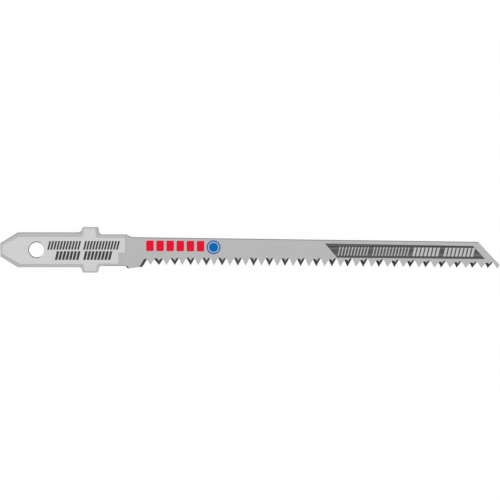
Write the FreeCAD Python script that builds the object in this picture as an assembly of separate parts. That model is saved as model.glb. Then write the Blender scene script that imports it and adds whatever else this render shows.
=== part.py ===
import FreeCAD, Part
import math
import os

# Jigsaw blade with a T-shaped tang, ground from one strip of steel. Sizes are in millimetres.
# It lies flat. +X runs from the tang to the tip, +Y to the back edge, -Y to the teeth, and
# +Z is the face that carries the print. The origin is in the lower face, on the axis of the
# tang's hole. "Above" and "below" the centreline mean towards +Y and -Y.

# Strip
overall_length = 100.0
stock_thickness = 1.25

# Tang
hole_to_tang_end = 7.26
tang_width = 7.0
nose_length = 3.52
nose_end_width = 2.66
nose_end_radius = 0.12
nose_shoulder_radius = 0.25
hole_diameter = 3.0
hole_rim_width = 0.17
hole_rim_depth = 0.12

# Lugs of the T
lug_centre_x = 10.79
lug_span = 9.14
lug_crest_length = 3.16
lug_foot_length = 3.56
back_lug_corner_radius = 0.2
tooth_lug_corner_radius = 0.42
back_lug_rear_fillet = 0.86
tooth_lug_rear_fillet = 0.7
lug_front_fillet = 0.66

# Neck between the lugs and the body
neck_end_x = 17.76
neck_above = 3.09
neck_below = 3.23

# Pale land on both faces of the tang, and the coined bevel round it
land_step_length = 1.38
land_step_below = 0.61
bevel_depth = 0.15
bevel_nose_end = 0.5
land_nose_end_width = 1.62
land_nose_length = 3.6
bevel_tang_back = 0.83
bevel_tang_teeth = 0.7
bevel_lug_rear = 0.43
bevel_lug_crest_back = 0.44
bevel_lug_crest_teeth = 0.34
bevel_lug_front_back = 0.67
bevel_lug_front_teeth = 0.45
bevel_neck_back = 0.65
bevel_neck_teeth = 0.5
land_corner_radius = 0.1
land_fillet_radius = 0.3

# Body, whose back edge and tooth line both slope down towards the tip
back_at_start = 2.55
back_at_tip = 1.53
back_edge_break = 0.15
tooth_line_at_start = 3.02
tooth_line_at_tip = 3.69

# Shoulder where the back edge steps down from the neck
shoulder_setback = 0.19
shoulder_angle = 34.0
shoulder_top_radius = 0.35
shoulder_foot_radius = 3.0

# Plunge tip
tip_angle = 46.9
tip_end_width = 0.9
tip_end_lean = 34.0
tip_point_below = 3.784

# Heel pad in front of the first tooth
heel_setback = 0.04
heel_drop = 0.53
heel_step_length = 0.52
heel_step_break = 0.2
heel_rise_angle = 7.2
heel_shortest_pad = 2.2
heel_gap = 1.56

# Teeth. The flanks of one are bevelled to show from above, those of the next from below.
tooth_pitch = 1.566
tip_gap = 1.93
gullet_root_radius = 0.41

# Off the even pitch, towards the tip: the row's middle, and the teeth bevelled underneath
row_bow = 0.14
stagger_at_start = -0.15
stagger_at_tip = 0.305

# The gullets' floor, below the centreline: where the row starts and along its level stretch
floor_first_below = 1.96
floor_full_below = 1.7
floor_run_in = 6.0

# Gullets whose cutter leans to the tip on its way up. The root is a share of the way across.
tipward_angle_at_start = 26.0
tipward_angle_at_tip = 30.0
tipward_first_angle = 33.0
tipward_first_root = 0.43
tipward_root_at_start = 0.48
tipward_root_at_tip = 0.645
tipward_level_length = 14.6
tipward_floor_last_below = 2.81

# Gullets whose cutter leans to the tang on its way up, the one after the heel among them
tangward_angle_at_start = 25.0
tangward_angle_at_tip = 20.0
tangward_first_angle = 29.5
tangward_root = 0.55
tangward_level_length = 33.9
tangward_floor_last_below = 2.49

# Taper grind of the body's faces
grind_at_teeth = 0.04
grind_at_back = 0.16

# How far a cutting shape reaches past the steel, and how near two lines count as one
overcut = 1.0
match_tolerance = 0.001


def between(x, x0, value0, x1, value1):
    """Value at x on the straight line through (x0, value0) and (x1, value1)."""
    return value0 + (value1 - value0) * (x - x0) / (x1 - x0)


def meeting_point(p, p_direction, q, q_direction):
    """Point where two lines in the plane cross, each given by a point and a direction."""
    cross = p_direction[0] * q_direction[1] - p_direction[1] * q_direction[0]
    gap = (q[0] - p[0], q[1] - p[1])
    along = (gap[0] * q_direction[1] - gap[1] * q_direction[0]) / cross
    return (p[0] + along * p_direction[0], p[1] + along * p_direction[1])


def rounded_wire(corners, z):
    """Closed wire at height z through corners given as (x, y, radius)."""
    points = [FreeCAD.Vector(x, y, z) for x, y, radius in corners]
    ahead_of = points[1:] + points[:1]
    starts = []
    crowns = []
    ends = []
    for i in range(len(points)):
        back = (points[i - 1] - points[i]).normalize()
        ahead = (ahead_of[i] - points[i]).normalize()
        half_turn = (math.pi - back.getAngle(ahead)) / 2
        radius = corners[i][2]
        run = radius * math.tan(half_turn)
        rise = radius / math.cos(half_turn) - radius
        starts.append(points[i] + back * run)
        crowns.append(points[i] + (back + ahead).normalize() * rise)
        ends.append(points[i] + ahead * run)
    edges = []
    for i in range(len(points)):
        if corners[i][2] > 0:
            edges.append(Part.Arc(starts[i], crowns[i], ends[i]).toShape())
        edges.append(Part.makeLine(ends[i], starts[(i + 1) % len(points)]))
    return Part.Wire(edges)


def prism(corners, z, travel):
    """Solid with the section of the corners at height z, pushed along the travel vector."""
    return Part.Face(rounded_wire(corners, z)).extrude(travel)


def mirrored_to_lower_face(shape):
    return shape.mirror(FreeCAD.Vector(0, 0, stock_thickness / 2), FreeCAD.Vector(0, 0, 1))


# Places that several functions share
tang_end_x = -hole_to_tang_end
tip_end_x = overall_length - hole_to_tang_end
nose_shoulder_x = tang_end_x + nose_length
tang_half = tang_width / 2
lug_half = lug_span / 2
lug_crest_rear_x = lug_centre_x - lug_crest_length / 2
lug_crest_front_x = lug_centre_x + lug_crest_length / 2
lug_foot_rear_x = lug_centre_x - lug_foot_length / 2
lug_foot_front_x = lug_centre_x + lug_foot_length / 2
tip_point_x = tip_end_x - tip_end_width * math.sin(math.radians(tip_end_lean))
tip_end_below = tip_point_below - tip_end_width * math.cos(math.radians(tip_end_lean))
land_step_x = neck_end_x - land_step_length
heel_x = neck_end_x + heel_setback
heel_low_x = heel_x + heel_step_length
heel_low_y = -(neck_below + heel_drop)
last_tooth_x = tip_point_x - tip_gap
tooth_row_length = last_tooth_x - heel_gap - heel_shortest_pad - heel_low_x
tooth_count = 1 + int(tooth_row_length / tooth_pitch)
first_tooth_x = last_tooth_x - (tooth_count - 1) * tooth_pitch
heel_corner_x = first_tooth_x + stagger_at_start - heel_gap
floor_level_x = first_tooth_x + floor_run_in


def back_edge_y(x):
    return between(x, neck_end_x, back_at_start, tip_end_x, back_at_tip)


def tooth_line_y(x):
    return -between(x, neck_end_x, tooth_line_at_start, tip_end_x, tooth_line_at_tip)


def heel_line_y(x):
    return heel_low_y + (x - heel_low_x) * math.tan(math.radians(heel_rise_angle))


def along_row(x, at_first_tooth, at_last_tooth):
    return between(x, first_tooth_x, at_first_tooth, last_tooth_x, at_last_tooth)


def gullet_floor_y(x, level_length, last_below):
    """Height of the gullets' bottoms: a short run-in, a level stretch, a slope to the tip."""
    slope_x = floor_level_x + level_length
    if x < floor_level_x:
        return -between(x, first_tooth_x, floor_first_below, floor_level_x, floor_full_below)
    if x < slope_x:
        return -floor_full_below
    return -between(x, slope_x, floor_full_below, last_tooth_x, last_below)


def crossing_back_edge(point, angle):
    """Where a line through a point, at an angle to the X axis, meets the back edge."""
    direction = (math.cos(math.radians(angle)), math.sin(math.radians(angle)))
    start = (neck_end_x, back_edge_y(neck_end_x))
    along_back = (tip_end_x - neck_end_x, back_edge_y(tip_end_x) - start[1])
    return meeting_point(point, direction, start, along_back)


def shoulder_top():
    return (neck_end_x + shoulder_setback, neck_above)


def shoulder_foot():
    return crossing_back_edge(shoulder_top(), -shoulder_angle)


def tip_back():
    return crossing_back_edge((tip_end_x, -tip_end_below), -tip_angle)


def tang_corners():
    """Outline of the tang and neck, clockwise from the land's end on the tooth side."""
    return [
        (neck_end_x, -neck_below, 0),
        (lug_foot_front_x, -neck_below, lug_front_fillet),
        (lug_crest_front_x, -lug_half, tooth_lug_corner_radius),
        (lug_crest_rear_x, -lug_half, tooth_lug_corner_radius),
        (lug_foot_rear_x, -tang_half, tooth_lug_rear_fillet),
        (nose_shoulder_x, -tang_half, nose_shoulder_radius),
        (tang_end_x, -nose_end_width / 2, nose_end_radius),
        (tang_end_x, nose_end_width / 2, nose_end_radius),
        (nose_shoulder_x, tang_half, nose_shoulder_radius),
        (lug_foot_rear_x, tang_half, back_lug_rear_fillet),
        (lug_crest_rear_x, lug_half, back_lug_corner_radius),
        (lug_crest_front_x, lug_half, back_lug_corner_radius),
        (lug_foot_front_x, neck_above, lug_front_fillet),
        (neck_end_x, neck_above, 0),
    ]


def body_corners():
    """Outline of the body before its teeth are ground, from the neck's end to the tip."""
    return [
        (neck_end_x, neck_above, 0),
        shoulder_top() + (shoulder_top_radius,),
        shoulder_foot() + (shoulder_foot_radius,),
        tip_back() + (0,),
        (tip_end_x, -tip_end_below, 0),
        (tip_point_x, -tip_point_below, 0),
        (heel_corner_x, heel_line_y(heel_corner_x), 0),
        (heel_low_x, heel_low_y, 0),
        (heel_x, -neck_below, 0),
        (neck_end_x, -neck_below, 0),
    ]


def land_corners():
    """Outline of the land, each side inside the tang's by its own width of bevel."""
    nose_end_x = tang_end_x + bevel_nose_end
    nose_shoulder = nose_end_x + land_nose_length
    back_y = tang_half - bevel_tang_back
    teeth_y = -(tang_half - bevel_tang_teeth)
    neck_back_y = neck_above - bevel_neck_back
    neck_teeth_y = -(neck_below - bevel_neck_teeth)
    crest_back_y = lug_half - bevel_lug_crest_back
    crest_teeth_y = -(lug_half - bevel_lug_crest_teeth)
    return [
        (neck_end_x, neck_teeth_y, 0),
        (lug_foot_front_x - bevel_lug_front_teeth, neck_teeth_y, land_fillet_radius),
        (lug_crest_front_x - bevel_lug_front_teeth, crest_teeth_y, land_corner_radius),
        (lug_crest_rear_x + bevel_lug_rear, crest_teeth_y, land_corner_radius),
        (lug_foot_rear_x + bevel_lug_rear, teeth_y, land_fillet_radius),
        (nose_shoulder, teeth_y, land_corner_radius),
        (nose_end_x, -land_nose_end_width / 2, land_corner_radius),
        (nose_end_x, land_nose_end_width / 2, land_corner_radius),
        (nose_shoulder, back_y, land_corner_radius),
        (lug_foot_rear_x + bevel_lug_rear, back_y, land_fillet_radius),
        (lug_crest_rear_x + bevel_lug_rear, crest_back_y, land_corner_radius),
        (lug_crest_front_x - bevel_lug_front_back, crest_back_y, land_corner_radius),
        (lug_foot_front_x - bevel_lug_front_back, neck_back_y, land_fillet_radius),
        (neck_end_x, neck_back_y, 0),
    ]


def tang():
    """Tang with a flat land on each face and a coined bevel round it."""
    outline = tang_corners()
    rim = rounded_wire(outline, stock_thickness - bevel_depth)
    land = rounded_wire(land_corners(), stock_thickness)
    cap = Part.makeLoft([rim, land], True, True)
    web_height = stock_thickness - 2 * bevel_depth
    web = prism(outline, bevel_depth, FreeCAD.Vector(0, 0, web_height))
    return web.fuse([cap, mirrored_to_lower_face(cap)])


def body_blank():
    """Body at full strip thickness, before grinding."""
    return prism(body_corners(), 0, FreeCAD.Vector(0, 0, stock_thickness))


def ground_face_z(y):
    """Height of the upper ground face, which leans down from the teeth to the back."""
    removed = between(y, -tooth_line_at_start, grind_at_teeth, back_at_start, grind_at_back)
    return stock_thickness - removed


def taper_grind():
    """Metal that the taper grind takes from the upper face, up to the land's stepped end."""
    far_x = tip_end_x + overcut
    far_y = lug_half + overcut
    top_z = stock_thickness + overcut
    ground_zone = [
        (land_step_x, -far_y, 0),
        (far_x, -far_y, 0),
        (far_x, far_y, 0),
        (neck_end_x, far_y, 0),
        (neck_end_x, -land_step_below, 0),
        (land_step_x, -land_step_below, 0),
    ]
    zone = prism(ground_zone, 0, FreeCAD.Vector(0, 0, top_z))
    section = Part.makePolygon([
        FreeCAD.Vector(0, -far_y, ground_face_z(-far_y)),
        FreeCAD.Vector(0, far_y, ground_face_z(far_y)),
        FreeCAD.Vector(0, far_y, top_z),
        FreeCAD.Vector(0, -far_y, top_z),
        FreeCAD.Vector(0, -far_y, ground_face_z(-far_y)),
    ])
    above_face = Part.Face(section).extrude(FreeCAD.Vector(far_x, 0, 0))
    return zone.common(above_face)


def tooth_points():
    """Points that the gullets lie between: heel corner, every tooth, and the tip's point."""
    points = [(heel_corner_x, heel_line_y(heel_corner_x))]
    for i in range(tooth_count):
        even_x = first_tooth_x + i * tooth_pitch
        way = along_row(even_x, 0, 1)
        x = even_x + 4 * row_bow * way * (1 - way)
        bevelled_underneath = (tooth_count - i) % 2 == 0
        if bevelled_underneath:
            x += along_row(even_x, stagger_at_start, stagger_at_tip)
        points.append((x, tooth_line_y(x)))
    points.append((tip_point_x, -tip_point_below))
    return points


def gullet(left, right, root_x, root_y, drift):
    """One V-shaped grinding cut between two points of the row.

    The cut drifts along X on its way up through the strip, to +X where drift is positive, so
    it bevels both flanks. The V is wider than the gap by the drift: what is left open all the
    way through then runs exactly from point to point.
    """
    left_flank = (root_x - left[0], root_y - left[1])
    right_flank = (root_x - right[0], root_y - right[1])
    left_point = (left[0] - abs(drift) / 2, left[1])
    right_point = (right[0] + abs(drift) / 2, right[1])
    low_line = ((root_x, min(left[1], right[1]) - overcut / 2), (1, 0))
    apex = meeting_point(left_point, left_flank, right_point, right_flank)
    left_low = meeting_point(left_point, left_flank, *low_line)
    right_low = meeting_point(right_point, right_flank, *low_line)
    section = [left_low + (0,), apex + (gullet_root_radius,), right_low + (0,)]
    height = stock_thickness + 2 * overcut
    whole_drift = drift * height / stock_thickness
    cut = prism(section, -overcut, FreeCAD.Vector(whole_drift, 0, height))
    cut.translate(FreeCAD.Vector(-whole_drift / 2, 0, 0))
    return cut


def tipward_gullet(left, right, is_first):
    """A cut that bevels the flank on its tip side, in view from above."""
    angle = along_row(left[0], tipward_angle_at_start, tipward_angle_at_tip)
    root = along_row(left[0], tipward_root_at_start, tipward_root_at_tip)
    if is_first:
        angle = tipward_first_angle
        root = tipward_first_root
    root_x = left[0] + root * (right[0] - left[0])
    root_y = gullet_floor_y(root_x, tipward_level_length, tipward_floor_last_below)
    drift = stock_thickness * math.tan(math.radians(angle))
    return gullet(left, right, root_x, root_y, drift)


def tangward_gullet(left, right, is_first):
    """A cut that bevels the flank on its tang side, in view from above."""
    angle = along_row(left[0], tangward_angle_at_start, tangward_angle_at_tip)
    if is_first:
        angle = tangward_first_angle
    root_x = left[0] + tangward_root * (right[0] - left[0])
    root_y = gullet_floor_y(root_x, tangward_level_length, tangward_floor_last_below)
    drift = -stock_thickness * math.tan(math.radians(angle))
    return gullet(left, right, root_x, root_y, drift)


def gullets():
    """All the grinding cuts: the way their cutter leans changes from one to the next."""
    points = tooth_points()
    cuts = []
    for i in range(len(points) - 1):
        is_first = i < 2
        leans_to_tip = (len(points) - i) % 2 == 1
        if leans_to_tip:
            cuts.append(tipward_gullet(points[i], points[i + 1], is_first))
        else:
            cuts.append(tangward_gullet(points[i], points[i + 1], is_first))
    return cuts


def hole():
    """Punched hole through the tang, with the dished rim that punching leaves on top."""
    radius = hole_diameter / 2
    bore = Part.makeCylinder(radius, stock_thickness + 2 * overcut, FreeCAD.Vector(0, 0, -overcut))
    rim = Part.makeCone(radius, radius + hole_rim_width, hole_rim_depth,
                        FreeCAD.Vector(0, 0, stock_thickness - hole_rim_depth))
    return bore.fuse(rim)


def rims(steel, start, end):
    """The edges where the broad faces meet the side that runs from start to end in plan."""
    guide = Part.makeLine(FreeCAD.Vector(*start), FreeCAD.Vector(*end))
    found = []
    for edge in steel.Edges:
        middle = edge.valueAt((edge.FirstParameter + edge.LastParameter) / 2)
        over_guide = Part.Vertex(middle.x, middle.y, 0).distToShape(guide)[0] < match_tolerance
        if over_guide and edge.BoundBox.XLength > edge.BoundBox.ZLength:
            found.append(edge)
    return found


def blade():
    steel = tang().fuse(body_blank())
    grind = taper_grind()
    steel = steel.cut([grind, mirrored_to_lower_face(grind)]).removeSplitter()
    steel = steel.makeChamfer(back_edge_break, rims(steel, shoulder_foot(), tip_back()))
    steel = steel.makeChamfer(heel_step_break, rims(steel, (heel_x, -neck_below), (heel_low_x, heel_low_y)))
    steel = steel.cut(hole())
    steel = steel.cut(gullets())
    return steel.removeSplitter()


os.makedirs("parts", exist_ok=True)
finished = blade()
finished.exportStep("parts/blade.step")
print("teeth:", tooth_count, "solids:", len(finished.Solids), "valid:", finished.isValid())
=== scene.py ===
"""Finish, prints and table of a jigsaw blade that lies flat, looked at from straight above."""
import math

import bpy
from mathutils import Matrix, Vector


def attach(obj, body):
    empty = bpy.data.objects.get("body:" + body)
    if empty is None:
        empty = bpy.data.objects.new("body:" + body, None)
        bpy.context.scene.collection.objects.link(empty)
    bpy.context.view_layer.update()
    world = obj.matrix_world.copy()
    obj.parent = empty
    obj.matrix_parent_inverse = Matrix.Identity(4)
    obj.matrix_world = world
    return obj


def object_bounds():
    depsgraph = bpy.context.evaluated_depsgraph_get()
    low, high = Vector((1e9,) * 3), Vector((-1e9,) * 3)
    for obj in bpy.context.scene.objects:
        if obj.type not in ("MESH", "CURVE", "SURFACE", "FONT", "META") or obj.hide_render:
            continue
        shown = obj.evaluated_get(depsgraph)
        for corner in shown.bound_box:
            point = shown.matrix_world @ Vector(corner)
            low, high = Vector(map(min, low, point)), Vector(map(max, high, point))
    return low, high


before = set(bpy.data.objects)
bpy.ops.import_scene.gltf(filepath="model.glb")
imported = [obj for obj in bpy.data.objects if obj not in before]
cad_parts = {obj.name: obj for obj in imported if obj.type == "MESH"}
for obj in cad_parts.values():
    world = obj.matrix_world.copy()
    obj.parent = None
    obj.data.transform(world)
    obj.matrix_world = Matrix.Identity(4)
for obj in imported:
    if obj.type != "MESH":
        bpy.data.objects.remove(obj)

cad_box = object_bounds()
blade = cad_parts["blade"]
mm = 0.001

# The blade's own sizes, in the frame: X runs from the tang to the tip, Y to the back edge
stock_thickness = cad_box[1].z - cad_box[0].z
hole_radius = 1.5 * mm
heel_line_top = (17.8 * mm, -3.23 * mm)
heel_line_foot = (18.32 * mm, -3.76 * mm)

# Where the steel changes its tone. A change takes place between the two values of a pair
lugs_begin_x = (8.9 * mm, 9.3 * mm)
lugs_end_x = (12.05 * mm, 12.15 * mm)
neck_begins_x = (13.3 * mm, 13.5 * mm)
neck_ends_x = (17.76 * mm, 17.86 * mm)
centre_line_y = (-0.1 * mm, 0.1 * mm)
tang_land_top_y = (2.55 * mm, 2.57 * mm)
neck_land_top_y = (2.35 * mm, 2.37 * mm)
hole_surround_radius = (1.9 * mm, 2.0 * mm)
hole_shade_span = (0.2, 0.85)
heel_line_begins_x = (17.7 * mm, 17.8 * mm)
heel_line_ends_x = (18.5 * mm, 18.6 * mm)
heel_line_highest_y = (-3.0 * mm, -2.9 * mm)
heel_line_width = (0.22 * mm, 0.28 * mm)
tooth_row_begins_x = (20.4 * mm, 20.45 * mm)
tooth_row_ends_x = (92.15 * mm, 92.2 * mm)
tooth_row_top_y = (-1.55 * mm, -1.5 * mm)
# Where the painted shade on the tooth flanks turns darker towards the tip
flanks_darken_x = (52 * mm, 62 * mm)

# The same for how deep a point lies under the nearer broad face, and for the way its face looks:
# flatness is 1 on a broad face and 0 on an upright wall, and facing is below 0 towards the teeth
land_depth = (0.004 * mm, 0.01 * mm)
bevel_depth = (0.01 * mm, 0.02 * mm)
rim_depth = (0.1 * mm, 0.122 * mm)
edge_flatness = (0.86, 0.9)
sloping_flatness = (0.3, 0.5)
toothward_facing = (-0.06, -0.02)

# Prints: sizes and places in the frame
ink_proud = 0.012 * mm
ink_sunk = 0.006 * mm
print_from_height = 2.0 * mm
print_lean = math.tan(math.radians(14.0))
bar_corner_share = 0.14
bar_corner_steps = 3

thin_row_start = 2.15 * mm
thin_row_end = 16.7 * mm
thin_row_foot = 0.02 * mm
thin_row_height = 1.74 * mm
thin_bar_width = 0.36 * mm
thin_bar_count = 24
thin_row_gap_at = 11

bold_row_start = 3.65 * mm
bold_row_end = 15.2 * mm
bold_row_foot = -2.02 * mm
bold_row_height = 1.74 * mm
bold_bar_width = 0.49 * mm
bold_bar_count = 16
bold_row_gap_at = 7

red_row_start = 21.95 * mm
red_row_end = 33.6 * mm
red_row_foot = -0.26 * mm
red_row_height = 2.12 * mm
red_row_slope = -0.008
red_block_width = 1.52 * mm
red_block_count = 6

blue_spot_centre = (35.45 * mm, 0.5 * mm)
blue_spot_radius = 1.4 * mm
blue_ring_gap = 0.2 * mm
blue_ring_width = 0.28 * mm
blue_spot_corners = 64

panel_top_left = (57.72 * mm, 1.28 * mm)
panel_top_right = (87.41 * mm, 0.76 * mm)
panel_foot_right = (89.81 * mm, -1.865 * mm)
panel_foot_left = (60.16 * mm, -1.57 * mm)
panel_cuts = 7

panel_thin_start = 60.3 * mm
panel_thin_end = 74.7 * mm
panel_thin_count = 23
panel_thin_gap_at = 10
panel_bold_start = 75.2 * mm
panel_bold_end = 87.8 * mm
panel_bold_count = 16
panel_bold_gap_at = 7
panel_bar_height = 1.74 * mm
panel_thin_width = 0.2 * mm
panel_bold_width = 0.48 * mm
panel_margin_below_bars = 0.45 * mm


def shade(red, green, blue):
    """A display colour from 0 to 255 a channel as a shader colour."""
    def linear(level):
        part = level / 255
        return part / 12.92 if part <= 0.04045 else ((part + 0.055) / 1.055) ** 2.4
    return (linear(red), linear(green), linear(blue), 1.0)


def grey(level):
    """A display grey from 0 to 255 as a shader colour."""
    return shade(level, level, level)


# Colours of the steel's surfaces, and of the shade painted on its edges, walls, hole, heel line and
# tooth flanks
ground_grey = grey(182.5)
land_grey = grey(205)
# Painted shade: upright walls and edge faces are coloured darker than the broad faces
wall_shade_grey = grey(128)
bevel_grey = grey(180.5)
# Painted shade: dark outlines along the outer edge of the tang's bevel, darkest on the neck's toothward
# side
tang_rim_shade_grey = grey(158)
neck_rim_shade_grey = grey(118)
# Painted shade on the hole's rim, on the side towards the tang's end
hole_rim_shade_grey = grey(96)
# Painted shade on the wall inside the hole
bore_wall_shade_grey = grey(150)
# Painted shade: a dark line on the bevel of the heel's small ramp
heel_line_shade_grey = grey(46)
# Painted shade: the tooth flanks are coloured near black, darker still towards the tip
flank_shade_grey = shade(79, 80, 82)
tip_flank_shade_grey = shade(64, 65, 67)
steel_grazing_tint = grey(215)

# Finish of the steel: sizes of its patterns, and how far each one swings the tone about its middle
grain_length = 9 * mm
grain_width = 0.09 * mm
grain_swing = 0.26
mottle_size = 0.22 * mm
mottle_swing = 0.08
# Mottle, metal and gloss of the painted shade on the tooth flanks and the heel line
flank_mottle_size = 0.5 * mm
flank_mottle_swing = 1.1
flank_metallic = 0.2
flank_gloss = 0.0
ground_roughness = 0.32
land_roughness = 0.46
roughness_of_grain = 0.12
steel_relief = 0.01 * mm
steel_relief_strength = 0.25

# Colours and finish of the inks
dark_ink_colour = shade(62, 62, 63)
red_ink_colour = shade(219, 20, 48)
blue_ink_colour = shade(1, 100, 172)
pale_ink_colour = grey(184)
ink_gloss = 0.03
ink_mottle_size = 0.25 * mm
ink_mottle_swing = 0.16
ink_roughness = (0.42, 0.58)
ink_relief = 0.004 * mm
ink_relief_strength = 0.2
pattern_middle_span = (0.3, 0.7)

# Streaks along the dark panel: each one's share of the way up, half its width there, and its grey
panel_streaks = [(0.12, 0.08, 79), (0.265, 0.065, 110), (0.56, 0.05, 76),
                 (0.688, 0.045, 118), (0.79, 0.055, 60)]
panel_ground_level = 87
streaks_reach_y = (-1.9 * mm, 1.3 * mm)
streak_wander = 0.05
wander_length = 26 * mm
wander_width = 0.9 * mm
fine_streak_length = 12 * mm
fine_streak_width = 0.22 * mm
fine_streak_swing = 0.9
panel_roughness = (0.36, 0.56)


def node(tree, kind, inputs=None, **settings):
    """One shader node: its settings, and its sockets set to values or joined to other nodes."""
    made = tree.nodes.new(kind)
    for name, value in settings.items():
        setattr(made, name, value)
    for socket, value in (inputs or {}).items():
        if isinstance(value, bpy.types.NodeSocket):
            tree.links.new(value, made.inputs[socket])
        else:
            made.inputs[socket].default_value = value
    return made


def reckon(tree, operation, first, second=0.0):
    """One step of arithmetic, on one value or between two."""
    return node(tree, "ShaderNodeMath", {0: first, 1: second}, operation=operation).outputs[0]


def ramp(tree, value, low, high, at_low=0.0, at_high=1.0, interpolation="SMOOTHSTEP"):
    """A step from one value to another as the input goes from low to high, with soft ends by default."""
    made = node(tree, "ShaderNodeMapRange", {
        "Value": value, "From Min": low, "From Max": high,
        "To Min": at_low, "To Max": at_high}, interpolation_type=interpolation)
    return made.outputs["Result"]


def fade(tree, value, low, high):
    """A mask that is full below low and gone above high."""
    return ramp(tree, value, low, high, 1.0, 0.0)


def both(tree, *masks):
    """Where all the masks are."""
    together = masks[0]
    for mask in masks[1:]:
        together = reckon(tree, "MULTIPLY", together, mask)
    return together


def colour_over(tree, mask, under, over):
    """One colour laid over another where the mask is. A mix node's sockets 6 and 7 are its colours."""
    made = node(tree, "ShaderNodeMix", {0: mask, 6: under, 7: over}, data_type="RGBA")
    return made.outputs[2]


def new_group(name, inputs, outputs):
    """An empty node group with its named sockets, and its two end nodes."""
    tree = bpy.data.node_groups.new(name, "ShaderNodeTree")
    for socket, kind, value in inputs:
        made = tree.interface.new_socket(socket, in_out="INPUT", socket_type=kind)
        if value is not None:
            made.default_value = value
    for socket, kind in outputs:
        tree.interface.new_socket(socket, in_out="OUTPUT", socket_type=kind)
    return tree, tree.nodes.new("NodeGroupInput"), tree.nodes.new("NodeGroupOutput")


def drawn_grain():
    """Fine lines that grinding or rolling leaves along the blade, from 0 to 1."""
    tree, given, given_out = new_group(
        "Drawn grain",
        [("Place", "NodeSocketVector", None), ("Line length", "NodeSocketFloat", grain_length),
         ("Line width", "NodeSocketFloat", grain_width)],
        [("Grain", "NodeSocketFloat")])
    along = reckon(tree, "DIVIDE", 1.0, given.outputs["Line length"])
    across = reckon(tree, "DIVIDE", 1.0, given.outputs["Line width"])
    pitch = node(tree, "ShaderNodeCombineXYZ", {"X": along, "Y": across, "Z": across})
    place = node(tree, "ShaderNodeVectorMath",
                 {0: given.outputs["Place"], 1: pitch.outputs[0]}, operation="MULTIPLY")
    lines = node(tree, "ShaderNodeTexNoise",
                 {"Vector": place.outputs[0], "Scale": 1.0, "Detail": 3.0, "Roughness": 0.6})
    tree.links.new(lines.outputs["Fac"], given_out.inputs["Grain"])
    return tree


def fine_mottle():
    """A fine even mottle, as on blasted steel or dry ink, from 0 to 1."""
    tree, given, given_out = new_group(
        "Fine mottle",
        [("Place", "NodeSocketVector", None), ("Size", "NodeSocketFloat", mottle_size)],
        [("Mottle", "NodeSocketFloat")])
    pitch = reckon(tree, "DIVIDE", 1.0, given.outputs["Size"])
    spots = node(tree, "ShaderNodeTexNoise",
                 {"Vector": given.outputs["Place"], "Scale": pitch, "Detail": 2.0, "Roughness": 0.65})
    tree.links.new(spots.outputs["Fac"], given_out.inputs["Mottle"])
    return tree


def toned_colour():
    """A colour made lighter and darker by a pattern that runs from 0 to 1."""
    tree, given, given_out = new_group(
        "Toned colour",
        [("Colour", "NodeSocketColor", (0.5, 0.5, 0.5, 1.0)), ("Pattern", "NodeSocketFloat", 0.5),
         ("Swing", "NodeSocketFloat", 0.1)],
        [("Colour", "NodeSocketColor")])
    about_none = reckon(tree, "SUBTRACT", given.outputs["Pattern"], 0.5)
    swing = reckon(tree, "MULTIPLY", about_none, given.outputs["Swing"])
    tone = reckon(tree, "ADD", swing, 1.0)
    made = node(tree, "ShaderNodeVectorMath",
                {0: given.outputs["Colour"], "Scale": tone}, operation="SCALE")
    tree.links.new(made.outputs[0], given_out.inputs["Colour"])
    return tree


grain_group = drawn_grain()
mottle_group = fine_mottle()
tone_group = toned_colour()


def new_material(name):
    """A material with its Principled shader, its node tree and the piece's own coordinates."""
    material = bpy.data.materials.new(name)
    material.use_nodes = True
    tree = material.node_tree
    place = node(tree, "ShaderNodeTexCoord").outputs["Object"]
    return material, tree, tree.nodes["Principled BSDF"], place


def grain_of(tree, place, line_length, line_width):
    """The drawn grain with lines of that length and width."""
    made = node(tree, "ShaderNodeGroup",
                {"Place": place, "Line length": line_length, "Line width": line_width},
                node_tree=grain_group)
    return made.outputs["Grain"]


def mottle_of(tree, place, size):
    """The fine mottle with spots of that size."""
    made = node(tree, "ShaderNodeGroup", {"Place": place, "Size": size}, node_tree=mottle_group)
    return made.outputs["Mottle"]


def toned(tree, colour, pattern, swing):
    """A colour toned by a pattern: swing is the share between its lightest and its darkest."""
    made = node(tree, "ShaderNodeGroup", {"Colour": colour, "Pattern": pattern, "Swing": swing},
                node_tree=tone_group)
    return made.outputs["Colour"]


def relief_from(tree, shader, pattern, strength, height):
    """Raises a material's surface by a pattern."""
    bump = node(tree, "ShaderNodeBump", {"Strength": strength, "Distance": height, "Height": pattern})
    tree.links.new(bump.outputs["Normal"], shader.inputs["Normal"])


def depth_below_face(tree, z):
    """How deep a point lies under the nearer broad face: nothing on the lands of both faces."""
    from_middle = reckon(tree, "ABSOLUTE", reckon(tree, "SUBTRACT", z, stock_thickness / 2))
    return reckon(tree, "SUBTRACT", stock_thickness / 2, from_middle)


def tang_land(tree, x, y, depth):
    """The tang's flat land. Along the back it stops just short of its crease, except at the lugs."""
    tang_strip = both(tree, fade(tree, x, *lugs_begin_x), ramp(tree, y, *tang_land_top_y))
    neck_strip = both(tree, ramp(tree, x, *lugs_end_x), ramp(tree, y, *neck_land_top_y))
    worn_strip = reckon(tree, "MAXIMUM", tang_strip, neck_strip)
    return both(tree, fade(tree, depth, *land_depth), fade(tree, worn_strip, 0.0, 1.0))


def tooth_flanks(tree, x, y, edge, facing_y):
    """The ground flanks of the teeth, which look towards the cut and are painted dark as shade."""
    in_row = both(tree, ramp(tree, x, *tooth_row_begins_x), fade(tree, x, *tooth_row_ends_x),
                  fade(tree, y, *tooth_row_top_y))
    return both(tree, edge, in_row, fade(tree, facing_y, *toothward_facing))


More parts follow.
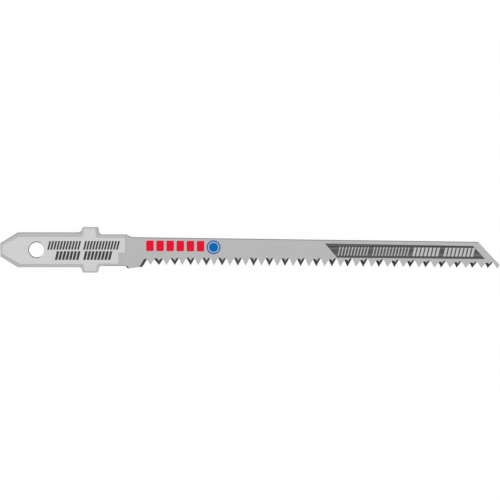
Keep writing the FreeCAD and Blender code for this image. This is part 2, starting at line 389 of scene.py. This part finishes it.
def heel_line(tree, x, y, edge, sloping):
    """The line of painted shade on the bevel of the heel's small ramp."""
    run = Vector(heel_line_foot) - Vector(heel_line_top)
    side = Vector((-run.y, run.x)).normalized()
    from_x = reckon(tree, "SUBTRACT", x, heel_line_top[0])
    from_y = reckon(tree, "SUBTRACT", y, heel_line_top[1])
    off_line = reckon(tree, "ADD", reckon(tree, "MULTIPLY", from_x, side.x),
                      reckon(tree, "MULTIPLY", from_y, side.y))
    return both(tree, edge, sloping, fade(tree, off_line, *heel_line_width),
                ramp(tree, x, *heel_line_begins_x), fade(tree, x, *heel_line_ends_x),
                fade(tree, y, *heel_line_highest_y))


def around_hole(tree, x, y, edge):
    """The walls in and round the hole, and the share of them painted in shade, on the side of the tang's
    end.
    """
    across = node(tree, "ShaderNodeCombineXYZ", {"X": x, "Y": y}).outputs[0]
    radius = node(tree, "ShaderNodeVectorMath", {0: across}, operation="LENGTH").outputs["Value"]
    near_hole = both(tree, edge, fade(tree, radius, *hole_surround_radius))
    towards_tip = reckon(tree, "DIVIDE", x, hole_radius)
    return near_hole, both(tree, near_hole, fade(tree, towards_tip, *hole_shade_span))


def blade_steel():
    """Ground grey steel with a pale flat land on the tang, and painted shade on its edges, walls, hole
    rim, heel line and tooth flanks.
    """
    material, tree, shader, place = new_material("Blade steel")
    axes = node(tree, "ShaderNodeSeparateXYZ", {0: place})
    x, y, z = (axes.outputs[i] for i in range(3))
    true_normal = node(tree, "ShaderNodeNewGeometry").outputs["True Normal"]
    facing = node(tree, "ShaderNodeSeparateXYZ", {0: true_normal})
    flatness = reckon(tree, "ABSOLUTE", facing.outputs[2])
    edge = fade(tree, flatness, *edge_flatness)
    sloping = ramp(tree, flatness, *sloping_flatness)

    depth = depth_below_face(tree, z)
    on_tang = fade(tree, x, *neck_ends_x)
    land = tang_land(tree, x, y, depth)
    bevel = both(tree, ramp(tree, depth, *bevel_depth), on_tang)
    rim = both(tree, ramp(tree, depth, *rim_depth), on_tang)
    back_rim = both(tree, rim, ramp(tree, y, *centre_line_y))
    neck_rim = both(tree, rim, ramp(tree, x, *neck_begins_x), fade(tree, y, *centre_line_y))
    near_hole, hole_shade = around_hole(tree, x, y, edge)
    on_heel_line = heel_line(tree, x, y, edge, sloping)
    flank = tooth_flanks(tree, x, y, edge, facing.outputs[1])

    colour = colour_over(tree, land, ground_grey, land_grey)
    colour = colour_over(tree, bevel, colour, bevel_grey)
    # Painted shade on the outer rim of the bevel, along the tang's back and along the neck's foot
    colour = colour_over(tree, back_rim, colour, tang_rim_shade_grey)
    colour = colour_over(tree, neck_rim, colour, neck_rim_shade_grey)
    # Painted shade on every upright wall and edge face, then a lighter painted shade on the bore's wall
    colour = colour_over(tree, edge, colour, wall_shade_grey)
    colour = colour_over(tree, near_hole, colour, bore_wall_shade_grey)
    # The hole's chamfer is painted land grey as if lit, then painted in shade on its side towards the
    # tang's end
    colour = colour_over(tree, both(tree, near_hole, sloping), colour, land_grey)
    colour = colour_over(tree, hole_shade, colour, hole_rim_shade_grey)
    # Painted shade along the heel's small ramp
    colour = colour_over(tree, on_heel_line, colour, heel_line_shade_grey)
    # Painted shade on the tooth flanks, darker towards the tip
    flank_colour = colour_over(tree, ramp(tree, x, *flanks_darken_x), flank_shade_grey, tip_flank_shade_grey)
    colour = colour_over(tree, flank, colour, flank_colour)

    grain = grain_of(tree, place, grain_length, grain_width)
    mottle = mottle_of(tree, place, mottle_size)
    colour = toned(tree, colour, grain, grain_swing)
    colour = toned(tree, colour, mottle, mottle_swing)
    # The painted shade on the flanks and the heel line is mottled and kept dull and barely metallic, so
    # that it stays dark from every side
    flank_and_heel_shade = reckon(tree, "MAXIMUM", flank, on_heel_line)
    flank_mottle = mottle_of(tree, place, flank_mottle_size)
    mottled = toned(tree, colour, flank_mottle, flank_mottle_swing)
    colour = colour_over(tree, flank_and_heel_shade, colour, mottled)
    tree.links.new(colour, shader.inputs["Base Color"])

    plain_roughness = ramp(tree, land, 0.0, 1.0, ground_roughness, land_roughness)
    grain_roughness = reckon(tree, "MULTIPLY", grain, roughness_of_grain)
    roughness = reckon(tree, "ADD", plain_roughness, grain_roughness)
    tree.links.new(roughness, shader.inputs["Roughness"])
    metallic = ramp(tree, flank_and_heel_shade, 0.0, 1.0, 1.0, flank_metallic)
    tree.links.new(metallic, shader.inputs["Metallic"])
    # Mottle on the land and grain elsewhere. A mix node's sockets 2 and 3 are its plain values
    pattern = node(tree, "ShaderNodeMix", {0: land, 2: grain, 3: mottle}, data_type="FLOAT")
    relief_from(tree, shader, pattern.outputs[0], steel_relief_strength, steel_relief)
    shader.inputs["Specular Tint"].default_value = steel_grazing_tint
    shader.inputs["Specular IOR Level"].default_value = flank_gloss
    return material


def print_ink(name, colour):
    """A dry printing ink, thin and even, with a fine mottle."""
    material, tree, shader, place = new_material(name)
    mottle = mottle_of(tree, place, ink_mottle_size)
    tree.links.new(toned(tree, colour, mottle, ink_mottle_swing), shader.inputs["Base Color"])
    rough = ramp(tree, mottle, *pattern_middle_span, *ink_roughness)
    tree.links.new(rough, shader.inputs["Roughness"])
    relief_from(tree, shader, mottle, ink_relief_strength, ink_relief)
    shader.inputs["Specular IOR Level"].default_value = ink_gloss
    return material


def streaked_ink():
    """The panel's dark ink, streaked along the blade like brushed metal."""
    material, tree, shader, place = new_material("Panel ink")
    y = node(tree, "ShaderNodeSeparateXYZ", {0: place}).outputs[1]
    way_up = ramp(tree, y, *streaks_reach_y, interpolation="LINEAR")
    wander = grain_of(tree, place, wander_length, wander_width)
    drift = reckon(tree, "MULTIPLY", reckon(tree, "SUBTRACT", wander, 0.5), streak_wander)
    bands = node(tree, "ShaderNodeValToRGB", {"Fac": reckon(tree, "ADD", way_up, drift)})
    band_points = bands.color_ramp.elements
    for end in band_points:
        end.color = grey(panel_ground_level)
    for middle, half_width, level in panel_streaks:
        band_points.new(middle - half_width).color = grey(panel_ground_level)
        band_points.new(middle).color = grey(level)
        band_points.new(middle + half_width).color = grey(panel_ground_level)
    fine_streaks = grain_of(tree, place, fine_streak_length, fine_streak_width)
    colour = toned(tree, bands.outputs["Color"], fine_streaks, fine_streak_swing)
    tree.links.new(colour, shader.inputs["Base Color"])
    rough = ramp(tree, fine_streaks, *pattern_middle_span, *panel_roughness)
    tree.links.new(rough, shader.inputs["Roughness"])
    relief_from(tree, shader, fine_streaks, ink_relief_strength, ink_relief)
    shader.inputs["Specular IOR Level"].default_value = ink_gloss
    return material


def nothing_selected():
    """Deselects everything, since an operator acts on all that is selected."""
    bpy.ops.object.select_all(action="DESELECT")


def select_points(piece, chosen):
    """Selects just the points of a mesh that chosen says yes to, for the next step in edit mode."""
    bpy.context.tool_settings.mesh_select_mode = (True, False, False)
    for part in (*piece.data.polygons, *piece.data.edges):
        part.select = False
    for vertex in piece.data.vertices:
        vertex.select = chosen(vertex)


def select_faces(piece, chosen):
    """Selects just the faces of a mesh that chosen says yes to, for the next step in edit mode."""
    bpy.context.tool_settings.mesh_select_mode = (False, False, True)
    for part in (*piece.data.vertices, *piece.data.edges):
        part.select = False
    for face in piece.data.polygons:
        face.select = chosen(face)


def corner_at(mesh, right, top):
    """The corner of a flat four-cornered piece on that side: right and top are True or False."""
    places = [vertex.co.copy() for vertex in mesh.vertices]
    middle = sum(places, Vector()) / len(places)
    for vertex in mesh.vertices:
        if (vertex.co.x > middle.x) == right and (vertex.co.y > middle.y) == top:
            return vertex
    return None


def move_corner(piece, corner, place):
    """Takes one corner of a flat piece to its place."""
    select_points(piece, lambda vertex: vertex.index == corner.index)
    step = (place[0] - corner.co.x, place[1] - corner.co.y, 0)
    bpy.ops.object.mode_set(mode="EDIT")
    bpy.ops.transform.translate(value=step)
    bpy.ops.object.mode_set(mode="OBJECT")


def move_top_edge(piece, by):
    """Slides the upper edge of a flat piece along X."""
    middle_y = sum(vertex.co.y for vertex in piece.data.vertices) / len(piece.data.vertices)
    select_points(piece, lambda vertex: vertex.co.y > middle_y)
    bpy.ops.object.mode_set(mode="EDIT")
    bpy.ops.transform.translate(value=(by, 0, 0))
    bpy.ops.object.mode_set(mode="OBJECT")


def flat_sheet(name, left, foot, width, height):
    """A flat four-cornered sheet above the blade."""
    nothing_selected()
    middle = (left + width / 2, foot + height / 2, print_from_height)
    bpy.ops.mesh.primitive_plane_add(size=1, location=middle)
    piece = bpy.context.object
    piece.name = name
    piece.data.name = name
    bpy.ops.object.mode_set(mode="EDIT")
    bpy.ops.transform.resize(value=(width, height, 1))
    bpy.ops.object.mode_set(mode="OBJECT")
    return piece


def flat_bar(name, left, foot, width, height, lean, corner):
    """One flat bar that leans to the right by lean for each unit of its height, corners rounded."""
    piece = flat_sheet(name, left, foot, width, height)
    move_top_edge(piece, lean * height)
    bpy.ops.object.mode_set(mode="EDIT")
    bpy.ops.mesh.select_all(action="SELECT")
    bpy.ops.mesh.bevel(offset=corner, offset_type="OFFSET", segments=bar_corner_steps,
                       affect="VERTICES")
    bpy.ops.object.mode_set(mode="OBJECT")
    bpy.ops.object.transform_apply(location=True, rotation=True, scale=True)
    return piece


def row_of_bars(name, start, end, foot, height, width, count, lean=0.0, slope=0.0, left_out=None):
    """Equal bars side by side from start to end, less the one left out.

    lean is how far a bar goes right for each unit of its height, and slope the row's climb along X.
    """
    corner = min(width, height) * bar_corner_share
    room_for_lean = lean * height
    pitch = (end - start - room_for_lean - width) / (count - 1)
    first = flat_bar(name, start, foot, width, height, lean, corner)
    bars = [first]
    for i in range(1, count):
        if i == left_out:
            continue
        copy = first.copy()
        copy.data = first.data.copy()
        bpy.context.collection.objects.link(copy)
        copy.location = (pitch * i, slope * pitch * i, 0)
        bars.append(copy)
    nothing_selected()
    for bar in bars:
        bar.select_set(True)
    bpy.context.view_layer.objects.active = first
    bpy.ops.object.join()
    bpy.ops.object.transform_apply(location=True, rotation=True, scale=True)
    return first


def lay_on_steel(piece, ink, proud=ink_proud):
    """Lays a flat print on the blade's upper face, gives it the ink's thickness and its colour."""
    nothing_selected()
    piece.select_set(True)
    bpy.context.view_layer.objects.active = piece
    wrap = piece.modifiers.new("Laid on the steel", "SHRINKWRAP")
    wrap.target = blade
    wrap.wrap_method = "PROJECT"
    wrap.use_project_z = True
    wrap.use_negative_direction = True
    wrap.use_positive_direction = False
    bpy.ops.object.modifier_apply(modifier=wrap.name)
    film = piece.modifiers.new("Ink film", "SOLIDIFY")
    film.thickness = ink_sunk + proud
    film.offset = (proud - ink_sunk) / (proud + ink_sunk)
    bpy.ops.object.modifier_apply(modifier=film.name)
    piece.data.materials.clear()
    piece.data.materials.append(ink)
    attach(piece, "root")
    return piece


def dark_panel():
    """The dark field near the tip: a strip with slanted ends that follows the narrowing blade."""
    width = panel_top_right[0] - panel_top_left[0]
    height = panel_top_left[1] - panel_foot_left[1]
    piece = flat_sheet("dark_panel", panel_top_left[0], panel_foot_left[1], width, height)
    bpy.ops.object.transform_apply(location=True, rotation=True, scale=True)
    for right, top, place in ((False, True, panel_top_left), (True, True, panel_top_right),
                              (True, False, panel_foot_right), (False, False, panel_foot_left)):
        move_corner(piece, corner_at(piece.data, right, top), place)
    bpy.ops.object.mode_set(mode="EDIT")
    bpy.ops.mesh.select_all(action="SELECT")
    bpy.ops.mesh.subdivide(number_cuts=panel_cuts)
    bpy.ops.object.mode_set(mode="OBJECT")
    return piece


def blue_spot():
    """A round blue spot inside a thin ring of the same ink."""
    nothing_selected()
    bpy.ops.mesh.primitive_circle_add(vertices=blue_spot_corners, radius=blue_spot_radius,
                                      fill_type="NGON", location=(*blue_spot_centre, print_from_height))
    piece = bpy.context.object
    piece.name = "blue_spot"
    piece.data.name = "blue_spot"
    bpy.ops.object.mode_set(mode="EDIT")
    bpy.ops.mesh.select_all(action="SELECT")
    bpy.ops.mesh.inset(thickness=blue_ring_width)
    bpy.ops.mesh.inset(thickness=blue_ring_gap)
    bpy.ops.object.mode_set(mode="OBJECT")
    gap_middle = blue_spot_radius - blue_ring_width - blue_ring_gap / 2
    select_faces(piece, lambda face: abs(face.center.to_2d().length - gap_middle) < blue_ring_gap / 2)
    bpy.ops.object.mode_set(mode="EDIT")
    bpy.ops.mesh.delete(type="FACE")
    bpy.ops.object.mode_set(mode="OBJECT")
    bpy.ops.object.transform_apply(location=True, rotation=True, scale=True)
    return piece


def tang_prints():
    """Two rows of leaning dark marks on the tang's land."""
    dark_ink = print_ink("Dark ink", dark_ink_colour)
    thin_marks = row_of_bars("tang_thin_marks", thin_row_start, thin_row_end, thin_row_foot,
                             thin_row_height, thin_bar_width, thin_bar_count, print_lean,
                             left_out=thin_row_gap_at)
    lay_on_steel(thin_marks, dark_ink)
    bold_marks = row_of_bars("tang_bold_marks", bold_row_start, bold_row_end, bold_row_foot,
                             bold_row_height, bold_bar_width, bold_bar_count, print_lean,
                             left_out=bold_row_gap_at)
    lay_on_steel(bold_marks, dark_ink)


def body_prints():
    """A row of red blocks and a blue spot in its ring, on the body."""
    red_blocks = row_of_bars("red_blocks", red_row_start, red_row_end, red_row_foot,
                             red_row_height, red_block_width, red_block_count, slope=red_row_slope)
    lay_on_steel(red_blocks, print_ink("Red ink", red_ink_colour))
    lay_on_steel(blue_spot(), print_ink("Blue ink", blue_ink_colour))


def panel_prints():
    """The dark panel near the tip, with thin and bold pale marks on it."""
    lay_on_steel(dark_panel(), streaked_ink())
    pale_ink = print_ink("Pale ink", pale_ink_colour)
    panel_slope = (panel_foot_right[1] - panel_foot_left[1]) / (panel_foot_right[0] - panel_foot_left[0])
    marks_foot = panel_foot_left[1] + panel_margin_below_bars
    marks_proud = 2 * ink_proud
    thin_marks = row_of_bars("panel_thin_marks", panel_thin_start, panel_thin_end, marks_foot,
                             panel_bar_height, panel_thin_width, panel_thin_count, print_lean,
                             panel_slope, panel_thin_gap_at)
    lay_on_steel(thin_marks, pale_ink, marks_proud)
    bold_foot = marks_foot + panel_slope * (panel_bold_start - panel_thin_start)
    bold_marks = row_of_bars("panel_bold_marks", panel_bold_start, panel_bold_end, bold_foot,
                             panel_bar_height, panel_bold_width, panel_bold_count, print_lean,
                             panel_slope, panel_bold_gap_at)
    lay_on_steel(bold_marks, pale_ink, marks_proud)


# The table, the light and the camera
table_gap = 0.02 * mm
table_size = 4.0
table_own_light = 0.95
table_white = (0.97, 0.97, 0.97, 1.0)
table_mottle_size = 40 * mm
table_mottle_swing = 0.02
sky_colour = (1.0, 1.0, 1.0, 1.0)
sky_for_shading = 0.96
photo_centre = (42.743 * mm, -0.04 * mm)
photo_width = 100.1 * mm
camera_height = 0.5
key_light_place = (-0.7, 0.8, 0.7)
key_light_size = 1.3
key_light_power = 3.4
fill_light_place = (0.9, -0.8, 0.6)
fill_light_size = 1.1
fill_light_power = 2.3


def seen_directly(tree):
    """1 for what the camera sees by itself, in a gloss or through glass, 0 for light on a surface."""
    path = node(tree, "ShaderNodeLightPath")
    seen = reckon(tree, "MAXIMUM", path.outputs["Is Camera Ray"], path.outputs["Is Glossy Ray"])
    return reckon(tree, "MAXIMUM", seen, path.outputs["Is Transmission Ray"])


def white_table_top():
    """A white that shows by its own light, keeps a faint shadow, and can't be seen from below."""
    material = bpy.data.materials.new("White table")
    material.use_nodes = True
    tree = material.node_tree
    tree.nodes.clear()
    place = node(tree, "ShaderNodeTexCoord").outputs["Object"]
    white = toned(tree, table_white, mottle_of(tree, place, table_mottle_size), table_mottle_swing)
    lit = node(tree, "ShaderNodeBsdfDiffuse", {"Color": white})
    own = node(tree, "ShaderNodeEmission", {"Strength": 1.0})
    share = reckon(tree, "MULTIPLY", seen_directly(tree), table_own_light)
    top = node(tree, "ShaderNodeMixShader", {0: share, 1: lit.outputs[0], 2: own.outputs[0]})
    clear = node(tree, "ShaderNodeBsdfTransparent")
    behind = node(tree, "ShaderNodeNewGeometry").outputs["Backfacing"]
    either = node(tree, "ShaderNodeMixShader", {0: behind, 1: top.outputs[0], 2: clear.outputs[0]})
    node(tree, "ShaderNodeOutputMaterial", {"Surface": either.outputs[0]})
    return material


def pale_table():
    """A wide white table top just under the blade."""
    nothing_selected()
    bpy.ops.mesh.primitive_plane_add(size=table_size, location=(0, 0, -table_gap))
    table = bpy.context.object
    table.name = "table"
    bpy.ops.object.transform_apply(location=True, rotation=True, scale=True)
    table.data.materials.append(white_table_top())


def soft_lamp(name, place, size, power):
    """A square lamp turned to the middle of the blade."""
    data = bpy.data.lights.new(name, "AREA")
    data.shape = "SQUARE"
    data.size = size
    data.energy = power
    lamp = bpy.data.objects.new(name, data)
    bpy.context.collection.objects.link(lamp)
    lamp.location = place
    aim = Vector((*photo_centre, 0)) - Vector(place)
    lamp.rotation_euler = aim.to_track_quat("-Z", "Y").to_euler()


def studio():
    """White surroundings, two soft lamps and the camera straight above the blade."""
    world = bpy.data.worlds.new("White studio")
    bpy.context.scene.world = world
    world.use_nodes = True
    tree = world.node_tree
    strength = ramp(tree, seen_directly(tree), 0.0, 1.0, sky_for_shading, 1.0)
    tree.links.new(strength, tree.nodes["Background"].inputs["Strength"])
    tree.nodes["Background"].inputs["Color"].default_value = sky_colour
    soft_lamp("Key lamp", key_light_place, key_light_size, key_light_power)
    soft_lamp("Fill lamp", fill_light_place, fill_light_size, fill_light_power)

    data = bpy.data.cameras.new("Camera")
    data.type = "ORTHO"
    data.ortho_scale = photo_width
    camera = bpy.data.objects.new("Camera", data)
    bpy.context.collection.objects.link(camera)
    camera.location = (*photo_centre, camera_height)
    bpy.context.scene.camera = camera
    bpy.context.scene.view_settings.view_transform = "Standard"


blade.material_slots[0].material = blade_steel()
tang_prints()
body_prints()
panel_prints()
pale_table()
studio()
